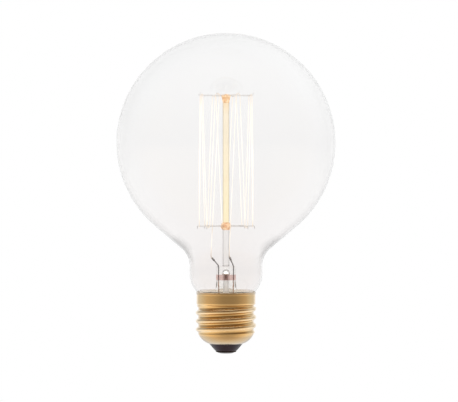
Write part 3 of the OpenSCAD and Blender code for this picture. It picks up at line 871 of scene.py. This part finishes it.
piece("carbon_thread", wire(thread, filament_r, 8), glowing_thread, "filament_glow", "filament")

# %% [markdown]
# The cap's shell starts as a plain brass sleeve: a flared rim, a straight skirt, a straight stretch
# for the thread, and a foot that rounds in to the lip. It is turned like the glass. The stretch for
# the thread gets many rows, because the next step moves each of its vertices.

# %% Plain sleeve
crest_r = high("cap_shell").x
root_r = 12.1 * MM
skirt_r = 12.85 * MM
rim_r = 13.1 * MM
rim_height = 0.8 * MM
rim_bead = 0.35 * rim_height
rim_lean = 0.05 * MM
skirt_height = 4.2 * MM
thread_pitch = 3.629 * MM
thread_length = 13.1 * MM
rows_per_pitch = 22
foot_r = 7.5 * MM
lip_r = 7.3 * MM

rim_z = cap_top - rim_height
skirt_z = rim_z - skirt_height
thread_z = skirt_z - thread_length
foot_chord = Vector((root_r - lip_r, thread_z - lip_z))
foot_arm = math.sqrt(foot_r**2 - (foot_chord.length / 2) ** 2)
foot_x = (root_r + lip_r) / 2 - foot_arm * foot_chord.y / foot_chord.length
foot_z = (thread_z + lip_z) / 2 + foot_arm * foot_chord.x / foot_chord.length
foot_sweep = math.degrees(2 * math.asin(foot_chord.length / 2 / foot_r))

shell = lathe(
    (rim_r, cap_top),
    ("line", rim_r - rim_lean, cap_top - rim_bead, 1),
    ("line", skirt_r, rim_z, 3),
    ("line", skirt_r, skirt_z, 8),
    ("line", root_r, thread_z, round(thread_length / thread_pitch * rows_per_pitch)),
    ("arc", foot_x, foot_z, foot_sweep, 18),
    steps=160,
)
print(f"sleeve {(cap_top - lip_z) / MM:.1f} mm tall")

# %% [markdown]
# The real shell is rolled between dies that press the screw thread into it. A thread is a helix, so
# a plain lathe can't make it. But each vertex of the turned sleeve can be moved in or out by how far
# it lies from the nearest crest, counted along the helix. Two arcs that meet make crest and root, as
# on a real lamp cap. The wall comes last, so the inside follows the thread as rolled metal does.

# %% Rolled thread
shell_wall = 0.35 * MM
thread_runout = 1.5 * MM
thread_ramp = 1.0 * MM
thread_start = math.radians(-8)


def thread_rise(off):
    """Height of the thread over its root, at a distance along the axis from a crest."""
    depth, quarter = crest_r - root_r, thread_pitch / 4
    curve = (quarter**2 + (depth / 2) ** 2) / depth
    off = abs(off)
    if off < quarter:
        return depth - curve + math.sqrt(curve**2 - off**2)
    return curve - math.sqrt(curve**2 - (2 * quarter - off) ** 2)


def threaded_radius(angle, z):
    """Radius of the rolled sleeve, which grows out of the foot and runs into the skirt."""
    turns = (z - thread_z) / thread_pitch - (angle - thread_start) / math.tau
    fade = smooth_step((z - thread_z) / thread_runout) * smooth_step((skirt_z - z) / thread_runout)
    crest = root_r + fade * thread_rise(thread_pitch * (turns - round(turns)))
    return max(crest, root_r + smooth_step((z - skirt_z) / thread_ramp + 1) * (skirt_r - root_r))


for vert in shell.verts:
    if thread_z <= vert.co.z <= skirt_z:
        radius = threaded_radius(math.atan2(vert.co.y, vert.co.x), vert.co.z)
        vert.co.xy = vert.co.xy.normalized() * radius
bmesh.ops.recalc_face_normals(shell, faces=shell.faces)
bmesh.ops.solidify(shell, geom=shell.faces[:], thickness=shell_wall)
print(f"thread {2 * crest_r / MM:.1f} mm over its crests, pitch {thread_pitch / MM:.3f} mm")

# %% [markdown]
# Brass is metal, so its colour sits in its reflections. Its colour follows the distance from the axis:
# the crests of the thread are rubbed bright by handling and paler still as a painted highlight, the
# grooves are browner, partly tarnish and partly painted shade, and the foot is darker. The rim is
# darkened as painted shade. Rolling leaves fine rings round the shell, so a noise that is stretched
# flat along Z varies the roughness and bumps the surface a little. A coat of lacquer lies over it all
# and whitens what turns away from the eye.

# %% Brass
stain_share = 0.06
brass, tree, shader = new_finish("rolled_brass", Metallic=1, Coat_Weight=1, Coat_Roughness=0.08)
wear_and_shade_share = distance_along(tree, (1, 1, 0), lip_r, crest_r)
stain = combine(tree, grain(tree, 320, detail=5), stain_share, "MULTIPLY")
# Wear with a painted highlight on the crests, tarnish with painted shade in the grooves, darker foot.
rubbed_and_painted_light = ramp(
    tree, combine(tree, wear_and_shade_share, stain, "ADD"), (0.0, (0.51, 0.37, 0.2)), (0.75, (0.54, 0.375, 0.185)),
    (0.83, (0.75, 0.505, 0.22)), (0.9, (0.83, 0.58, 0.27)), (0.98, (0.87, 0.615, 0.295)),
    (1.0, (0.92, 0.72, 0.45)),
)
# Painted shade: the rim is darkened.
painted_rim_shade = ramp(tree, height(tree, skirt_z, cap_top), (0.78, 1.0), (0.86, (0.5, 0.46, 0.4)))
rings = grain(tree, 30, detail=3, stretch=(1, 1, 160))
dull = ramp(tree, rings, (0.3, 0.13), (0.7, 0.25))
feed(shader, Base_Color=mix(tree, 1.0, rubbed_and_painted_light, painted_rim_shade, "MULTIPLY"), Roughness=dull)
relief(shader, rings, 0.12, 0.05 * MM)
piece("rolled_shell", shell, brass, "brass", "cap_shell", edge=60)

# %% [markdown]
# A ring of baked cement holds the glass in the cap. It fills the wedge between the drawn-in neck and
# the shell up to the rim, where it shows through the glass as a pale line. Its outline follows the
# neck's curve on the inside and the shell on the outside, with a hair's breadth of room to both. The
# filament shines on it through the neck, so its finish has a soft painted glow, as the rod's has.

# %% Cement
fit = 0.02 * MM
cement_low = low("cap_cement").z
cement_high = cap_top - 2 * fit
cement_r = neck_curve + fit
cement_x = seal_r + fit
curve_low = neck_z - math.sqrt(cement_r**2 - (cement_x - curve_x) ** 2)
brim_x = curve_x + math.sqrt(cement_r**2 - (neck_z - cement_high) ** 2)
brim_turn = math.acos((cement_x - curve_x) / cement_r) - math.acos((brim_x - curve_x) / cement_r)
ring = lathe(
    (cement_x, cement_low),
    ("line", cement_x, curve_low, 2),
    ("arc", curve_x, neck_z, -math.degrees(brim_turn), 6),
    ("line", rim_r - shell_wall - 2 * fit, cement_high),
    ("line", skirt_r - shell_wall - 2 * fit, rim_z),
    ("line", skirt_r - shell_wall - 2 * fit, cement_low, 2),
    ("line", cement_x, cement_low),
    steps=96,
)
# Painted glow: emission for the filament's light falling on the cement.
cement, tree, shader = new_finish("baked_cement", Roughness=0.9, Emission_Strength=0.55)
crumb = grain(tree, 1400, detail=6)
crust = ramp(tree, crumb, (0.3, (0.78, 0.68, 0.54)), (0.7, (0.92, 0.85, 0.74)))
feed(shader, Base_Color=crust, Emission_Color=crust)
relief(shader, crumb, 0.5, 0.1 * MM)
piece("cement_ring", ring, cement, "cement", "cap_cement")

# %% [markdown]
# A cone of black glass closes the cap's lower end and keeps its two contacts apart. It was poured in
# hot and pressed, so its lower edge is softly round. The outline runs down the outside, across the
# flat and up the hole for the eyelet, so the turned shape is closed.

# %% Insulator
cone_z = low("cap_insulator").z
insulator_top = high("cap_insulator").z
cone_r = 4.6 * MM
cone_edge = 0.5 * MM
edge_in = 0.1 * cone_edge
edge_up = 0.22 * cone_edge
lip_depth = 0.3 * MM
eyelet_r = 1.1 * MM
throat_r = lip_r - fit
inside_r = foot_r - shell_wall - fit
inside_top_x = foot_x + math.sqrt(inside_r**2 - (insulator_top - foot_z) ** 2)
cone_slope = math.atan2(lip_z - cone_z, throat_r - cone_r)
insulator = lathe(
    (eyelet_r + fit, insulator_top),
    ("line", inside_top_x, insulator_top, 3),
    ("line", throat_r, lip_z + lip_depth, 4),
    ("line", throat_r, lip_z, 1),
    ("line", cone_r + cone_edge * math.cos(cone_slope), cone_z + cone_edge * math.sin(cone_slope), 6),
    ("line", cone_r - edge_in, cone_z + edge_up, 1),
    ("line", cone_r - cone_edge, cone_z, 1),
    ("line", eyelet_r + fit, cone_z, 3),
    ("line", eyelet_r + fit, insulator_top, 5),
    steps=96,
)
print(f"insulator slopes by {math.degrees(cone_slope):.0f} degrees")

# %% [markdown]
# Black glass is dark all through and shiny on top. It has a trace of violet, and the mould has left a
# fine unevenness that breaks up its reflections.

# %% Black glass
black_glass, tree, shader = new_finish("black_glass", IOR=1.5, Specular_IOR_Level=0.2)
cloud = grain(tree, 420, detail=4)
violet = ramp(tree, cloud, (0.35, (0.02, 0.01, 0.026)), (0.7, (0.034, 0.019, 0.042)))
feed(shader, Base_Color=violet, Roughness=ramp(tree, cloud, (0.3, 0.16), (0.7, 0.34)))
relief(shader, grain(tree, 900, detail=2), 0.2, 0.05 * MM)
piece("poured_insulator", insulator, black_glass, "black_glass", "cap_insulator")

# %% [markdown]
# The centre contact is a small brass plate with an eyelet that goes up through the insulator. It is
# turned with a rounded rim, as a stamped plate has, and its finish is painted very dark, as shade under the
# lamp.

# %% Contact plate
plate_z = low("contact_plate").z
plate_r = high("contact_plate").x
plate_top = cone_z
eyelet_top = high("contact_plate").z
plate_edge = 0.12 * MM
plate_hole = lead_r + fit
plate = lathe(
    (plate_hole, plate_z),
    ("line", plate_r - plate_edge, plate_z, 3),
    ("arc", plate_r - plate_edge, plate_z + plate_edge, -90, 4),
    ("line", plate_r, plate_top - plate_edge),
    ("arc", plate_r - plate_edge, plate_top - plate_edge, -90, 4),
    ("line", eyelet_r, plate_top, 3),
    ("line", eyelet_r, eyelet_top, 3),
    ("line", plate_hole, eyelet_top, 1),
    ("line", plate_hole, plate_z, 5),
    steps=64,
)
# Painted shade: the plate's brass is near black.
brass_painted_dark, *_ = stained_metal(
    "brass_painted_dark", 600, 4, (0.03, 0.024, 0.022), (0.11, 0.08, 0.05), 0.4, 0.6, light_at=0.7
)
piece("contact_disc", plate, brass_painted_dark, "brass", "contact_plate")

# %% [markdown]
# The plate is drowned in a drop of solder, which is what the lamp holder touches. The drop is turned
# too, and then made uneven with a slow wave round its side, because solder sets as it fell. Its flat
# middle stays round.

# %% Solder
solder_r = 4.1 * MM
contact_r = 2.4 * MM
flat_r = 1.05 * contact_r
wave = 0.02
solder_top = plate_z - fit
bulge_x = 0.5 * (contact_r + solder_r)
bulge_z = 0.3 * solder_top
drop = lathe(
    (0, 0),
    ("line", contact_r, 0, 4),
    ("line", bulge_x, bulge_z, 2),
    ("line", solder_r, solder_top, 3),
    ("line", 0, solder_top, 3),
    steps=64,
)
for vert in drop.verts:
    angle = math.atan2(vert.co.y, vert.co.x)
    sway = 1 + wave * math.sin(3 * angle) - wave * math.cos(5 * angle)
    if vert.co.xy.length > flat_r:
        vert.co.xy *= min(sway, plate_r / solder_r)
# Painted shade: the solder's near-black colour stands for the shade under the lamp.
solder, tree, shader, skin = stained_metal(
    "shade_darkened_solder", 700, 4, (0.05, 0.045, 0.05), (0.12, 0.11, 0.12), 0.3, 0.5
)
relief(shader, skin, 0.4, 0.08 * MM)
piece("solder_drop", drop, solder, "solder", "contact_solder")

# %% [markdown]
# What is left is inside the cap or the stem: two red sealing wires, two copper wires and a weld.
# Their CAD shapes are right as they are, so they stay, and only get a finish each.

# %% Finishes for the hidden pieces
red_oxide, tree, shader = new_finish("red_oxide", Roughness=0.45)
rust = ramp(tree, grain(tree, 1500), (0.35, (0.2, 0.05, 0.035)), (0.65, (0.34, 0.1, 0.07)))
feed(shader, Base_Color=rust)
copper, *_ = stained_metal("drawn_copper", 900, 3, (0.36, 0.19, 0.12), (0.6, 0.34, 0.22), 0.3, 0.5)

dressed = {
    "left_seal_wire": red_oxide,
    "right_seal_wire": red_oxide,
    "contact_wire": copper,
    "shell_wire": copper,
    "shell_weld": solder,
}
for node, finish in dressed.items():
    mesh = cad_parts[node].data
    mesh.materials.clear()
    mesh.materials.append(finish)
print("dressed in place:", ", ".join(dressed))

# %% [markdown]
# The lamp stands in a white studio. A clear bulb on white is nothing but its edges, so what they
# reflect matters most. Four ramps over height, from straight down to straight up, say what a ray sees
# that bounced off a surface. In front, where the camera stands, the room is brown and dim above its
# bright table. On the left it is grey, on the right a window stands, and behind the lamp the room is
# bright at eye level, which keeps the globe's rim pale. The ray's X mixes the two sides, and its Y
# front, sides and back.

# %% Room to reflect
room = bpy.data.worlds.new("studio")
bpy.context.scene.world = room
room.use_nodes = True
tree = room.node_tree
tree.nodes.clear()
direction = add(tree, "ShaderNodeTexCoord").outputs["Generated"]
parts = add(tree, "ShaderNodeSeparateXYZ", {"Vector": direction}).outputs
climb = share(tree, parts["Z"], -1, 1)
front = ramp(
    tree, climb, (0.0, (0.78, 0.65, 0.49)), (0.3, (0.87, 0.72, 0.55)), (0.43, (0.76, 0.64, 0.48)),
    (0.5, (0.32, 0.26, 0.2)), (0.57, (0.31, 0.22, 0.13)), (0.68, (0.24, 0.15, 0.07)),
    (1.0, (0.21, 0.13, 0.06)),
)
table = ((0.0, 0.84), (0.2, 0.82), (0.36, 0.76), (0.45, 0.58))
left = ramp(tree, climb, *table, (0.5, 0.48), (0.6, 0.36), (0.8, 0.34), (0.92, 0.2), (1.0, 0.13))
right = ramp(tree, climb, *table, (0.5, 0.46), (0.6, 0.5), (0.8, 0.6), (0.92, 0.4), (1.0, 0.13))
behind = ramp(
    tree, climb, (0.0, 0.84), (0.2, 0.76), (0.25, 0.5), (0.3, 0.5), (0.36, 0.68), (0.5, 0.78), (0.7, 0.7),
    (0.88, 0.5), (0.95, 0.17), (1.0, 0.1),
)
beside = mix(tree, share(tree, parts["X"], -0.4, 0.4), left, right)
storey = mix(tree, share(tree, parts["Y"], -0.2, 0.4), front, beside)
storey = mix(tree, share(tree, parts["Y"], 0.7, 0.9), storey, behind)
print("room has", len(tree.nodes), "nodes so far")

# %% [markdown]
# The camera, and whoever stands behind it, darkens what a ray sees that comes straight back at it.
# In that angle heights count half, since a person is taller than wide. Rays from the camera, and rays
# that come out of glass, look straight at the room and see plain white instead: Light Path tells which
# is which. So the backdrop is clean, and brass and glass still have something to mirror.

# %% White backdrop
camera_turn = math.radians(12)
room_strength = 1.35
camera_side = Vector((math.sin(camera_turn), -math.cos(camera_turn), 0))
squat = add(tree, "ShaderNodeVectorMath", {0: direction, 1: (1, 1, 0.5)}, operation="MULTIPLY").outputs[0]
way = add(tree, "ShaderNodeVectorMath", {0: squat}, operation="NORMALIZE").outputs[0]
ahead = add(tree, "ShaderNodeVectorMath", {0: way, 1: camera_side}, operation="DOT_PRODUCT").outputs["Value"]
ahead = share(tree, ahead, -1, 1)
wall = ramp(tree, ahead, (0.5, 1.0), (0.65, 0.88), (0.75, 0.8), (0.85, 0.68), (0.94, 0.54), (1.0, 0.5))
bounced = add(tree, "ShaderNodeVectorMath", {0: storey, 1: wall}, operation="MULTIPLY").outputs[0]
bright = add(tree, "ShaderNodeVectorMath", {0: bounced, "Scale": room_strength}, operation="SCALE").outputs[0]
rays = add(tree, "ShaderNodeLightPath").outputs
straight = combine(tree, rays["Is Camera Ray"], rays["Is Transmission Ray"], "MAXIMUM")
sky = add(tree, "ShaderNodeBackground", {"Color": mix(tree, straight, bright, (1.0, 1.0, 1.0, 1.0))})
add(tree, "ShaderNodeOutputWorld", {"Surface": sky.outputs[0]})
print("room ready with", len(tree.nodes), "nodes")

# %% [markdown]
# The table is a large disc under the contact. It glows white, so that it stays as pale as the room in
# every view, and it's hidden from bounced rays, for which the room already has a table.

# %% Pale floor
floor_r = 40
floor_bm = bmesh.new()
bmesh.ops.create_circle(floor_bm, cap_ends=True, radius=floor_r, segments=64)
floor_mesh = bpy.data.meshes.new("floor")
floor_bm.to_mesh(floor_mesh)
floor_bm.free()
floor = new_object("floor", floor_mesh)
floor.visible_glossy = False
floor.visible_diffuse = False
floor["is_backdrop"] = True
pale_floor, *_ = new_finish(
    "pale_floor", Base_Color=(0, 0, 0, 1), Specular_IOR_Level=0, Emission_Color=(1, 1, 1, 1),
    Emission_Strength=1,
)
floor_mesh.materials.append(pale_floor)
print(f"floor {2 * floor_r} m across")

# %% [markdown]
# One large soft box on the left lights the dull pieces, such as the black glass and the cement. It is
# hidden from reflections and from what is seen through glass, because a bright square in the globe
# would give the studio away.

# %% Soft box
box_place = Vector((-1.1, -0.3, 0.1))
box_aim = Vector((0, 0, 0.05))
soft_box = bpy.data.lights.new("soft_box", "AREA")
soft_box.shape = "RECTANGLE"
soft_box.size = 0.8
soft_box.size_y = 1.0
soft_box.energy = 1.5
box = new_object("soft_box", soft_box)
box.location = box_place
box.rotation_euler = (box_aim - box_place).to_track_quat("-Z", "Y").to_euler()
box.visible_glossy = False
box.visible_transmission = False
print("soft box", soft_box.energy, "W")

# %% [markdown]
# The camera stands level with the middle of the lamp, far off with a long lens, as for a catalogue
# picture. Its lens follows from the width that the picture takes in at the lamp's axis. The colours
# are shown as they are, because a filmic curve would grey the white room. Light may cross many
# surfaces, because a ray through stem, tube and globe meets more than a dozen of them.

# %% Camera
picture_px = 458
mm_per_px = 0.4338
distance = 0.95
eye_z = 66 * MM
eye_x = 1.3 * MM
crossings = 32
lens = bpy.data.cameras.new("camera")
lens.sensor_width = 36
lens.lens = lens.sensor_width * distance / (picture_px * mm_per_px * MM)
camera = new_object("camera", lens)
camera.location = (eye_x, -distance, eye_z)
camera.rotation_euler = (math.radians(90), 0, 0)
scene = bpy.context.scene
scene.camera = camera
scene.view_settings.view_transform = "Standard"
scene.cycles.max_bounces = crossings
scene.cycles.transmission_bounces = crossings
print(f"lens {lens.lens:.0f} mm")

# %% [markdown]
# Last, the size of the dressed lamp is compared with its construction's, and the difference is printed.

# %% Compare the sizes and finish
visual_low, visual_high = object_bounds()
grown = (visual_high - visual_low) - (cad_high - cad_low)
print("grown by", [round(side / MM, 2) for side in grown], "mm")
